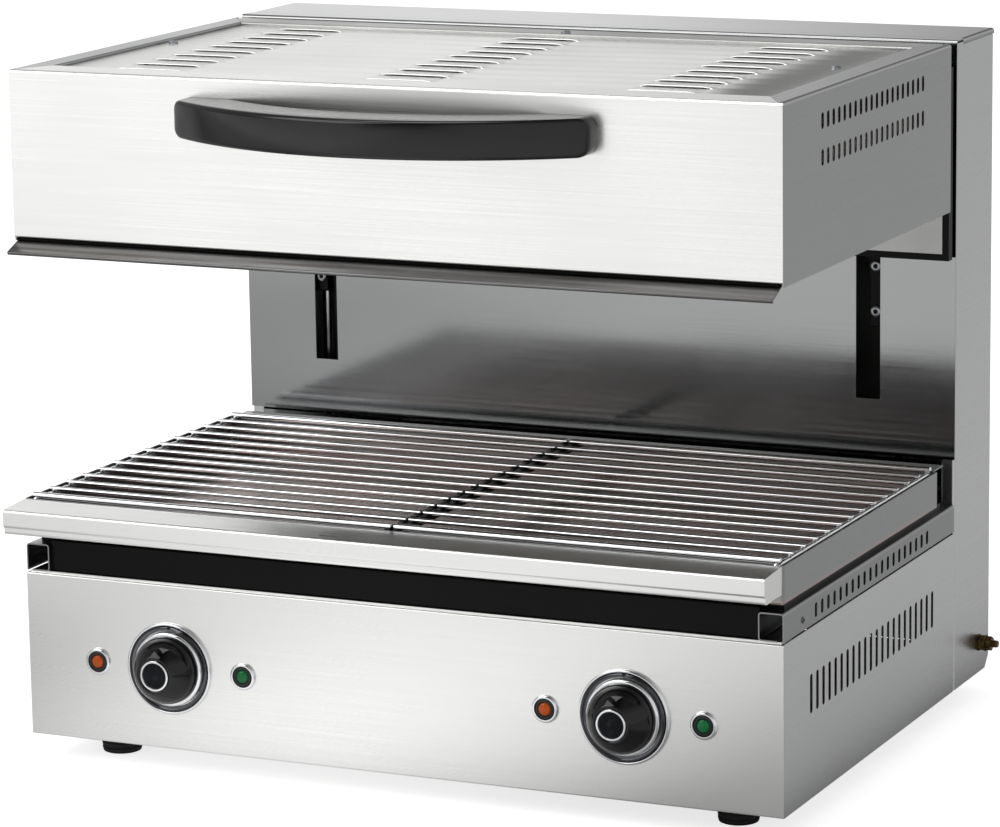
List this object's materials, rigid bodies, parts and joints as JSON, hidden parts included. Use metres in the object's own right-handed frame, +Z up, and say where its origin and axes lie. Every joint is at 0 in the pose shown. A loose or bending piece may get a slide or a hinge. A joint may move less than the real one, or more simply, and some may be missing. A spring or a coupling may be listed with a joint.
{
  "type": "lift salamander grill",
  "caption": "Stainless countertop salamander grill (cheese melter): counterweighted lifting head with bow handle, rear column, pull-out tray with wire racks, round knobs.",
  "frame": {"origin": "on the worktop, under the middle of the closed grill's bounding box", "axes": "+X to the grill's right as seen from behind the camera at the front, +Y to the rear column, +Z up"},
  "size_m": [0.616, 0.544, 0.5202],
  "materials": {
    "stainless": "satin",
    "bright_wire": "polished",
    "bright_ring": "polished",
    "zinc_steel": "satin",
    "dark_enamel": "satin",
    "cast_aluminium": "satin",
    "handle_plastic": "satin",
    "knob_plastic": "gloss",
    "body_plastic": "matte",
    "amber_plastic": "gloss",
    "green_plastic": "gloss",
    "foot_rubber": "matte",
    "brass": "satin",
    "bronze_bush": "satin",
    "rope_steel": "satin",
    "weight_steel": "matte",
    "element_sheath": "matte",
    "mineral_wool": "matte",
    "white_ceramic": "matte"
  },
  "bodies": {
    "cabinet": {"base_pan": "stainless", "feet": "foot_rubber", "foot_screws": "zinc_steel", "control_panel": "stainless", "base_sides": "stainless", "deck_plate": "stainless", "side_rails": "stainless", "front_baffle": "dark_enamel", "tray_runners": "dark_enamel", "column_front_panel": "stainless", "column_lower_plate": "stainless", "column_sides": "stainless", "column_top_cap": "stainless", "column_back_cover": "zinc_steel", "back_cover_screws": "zinc_steel", "guide_rods": "zinc_steel", "rod_clamps": "zinc_steel", "pulley_brackets": "zinc_steel", "rope_bends": "rope_steel", "knob_bezels": "bright_ring", "energy_regulators": "body_plastic", "lamp_bezels": "bright_ring", "amber_lenses": "amber_plastic", "green_lenses": "green_plastic", "terminal_block": "white_ceramic", "cable_gland": "body_plastic", "earth_stud": "brass"},
    "head": {"head_front_panel": "stainless", "head_sides": "stainless", "head_back_wall": "stainless", "head_top_cover": "stainless", "head_front_lip": "stainless", "head_screws": "zinc_steel", "handle": "handle_plastic", "reflector": "stainless", "insulation": "mineral_wool", "heating_elements": "element_sheath", "element_supports": "zinc_steel", "head_terminal_block": "white_ceramic", "lift_frame": "dark_enamel", "lift_arms": "zinc_steel", "carriages": "cast_aluminium", "slide_bushes": "bronze_bush", "head_ropes": "rope_steel"},
    "weight": {"counterweight": "weight_steel", "weight_ropes": "rope_steel"},
    "left_wheel": {"pulley_left": "body_plastic"},
    "right_wheel": {"pulley_right": "body_plastic"},
    "tray": {"tray_pan": "stainless", "tray_lip": "stainless", "rack_ledges": "stainless"},
    "left_rack": {"rack_left": "bright_wire"},
    "right_rack": {"rack_right": "bright_wire"},
    "left_knob": {"knob_left": "knob_plastic", "knob_cap_left": "bright_ring", "knob_shaft_left": "zinc_steel"},
    "right_knob": {"knob_right": "knob_plastic", "knob_cap_right": "bright_ring", "knob_shaft_right": "zinc_steel"}
  },
  "joints": [
    {"name": "head_lift", "type": "slide", "parent": "cabinet", "child": "head", "axis": [0, 0, 1], "range_m": [-0.14, 0], "deforming": ["head_ropes"]},
    {"name": "weight_lift", "type": "slide", "parent": "cabinet", "child": "weight", "axis": [0, 0, 1], "range_m": [0, 0.14], "deforming": ["weight_ropes"]},
    {"name": "left_wheel_turn", "type": "hinge", "parent": "cabinet", "child": "left_wheel", "pos_m": [-0.222, 0.211, 0.478], "axis": [0, 1, 0], "range_deg": [-325, 0]},
    {"name": "right_wheel_turn", "type": "hinge", "parent": "cabinet", "child": "right_wheel", "pos_m": [0.206, 0.211, 0.478], "axis": [0, 1, 0], "range_deg": [0, 325]},
    {"name": "tray_slide", "type": "slide", "parent": "cabinet", "child": "tray", "axis": [0, -1, 0], "range_m": [0, 0.3]},
    {"name": "left_rack_lift", "type": "slide", "parent": "tray", "child": "left_rack", "axis": [0, 0, 1], "range_m": [0, 0.03]},
    {"name": "right_rack_lift", "type": "slide", "parent": "tray", "child": "right_rack", "axis": [0, 0, 1], "range_m": [0, 0.03]},
    {"name": "left_knob_turn", "type": "hinge", "parent": "cabinet", "child": "left_knob", "pos_m": [-0.189, -0.201, 0.0805], "axis": [0, 1, 0], "range_deg": [0, 300]},
    {"name": "right_knob_turn", "type": "hinge", "parent": "cabinet", "child": "right_knob", "pos_m": [0.173, -0.201, 0.0805], "axis": [0, 1, 0], "range_deg": [0, 300]}
  ],
  "couplings": [
    {"joint": "weight_lift", "follows": "head_lift", "ratio": -1},
    {"joint": "left_wheel_turn", "follows": "head_lift", "rad_per_m": 40},
    {"joint": "right_wheel_turn", "follows": "head_lift", "rad_per_m": -40}
  ]
}
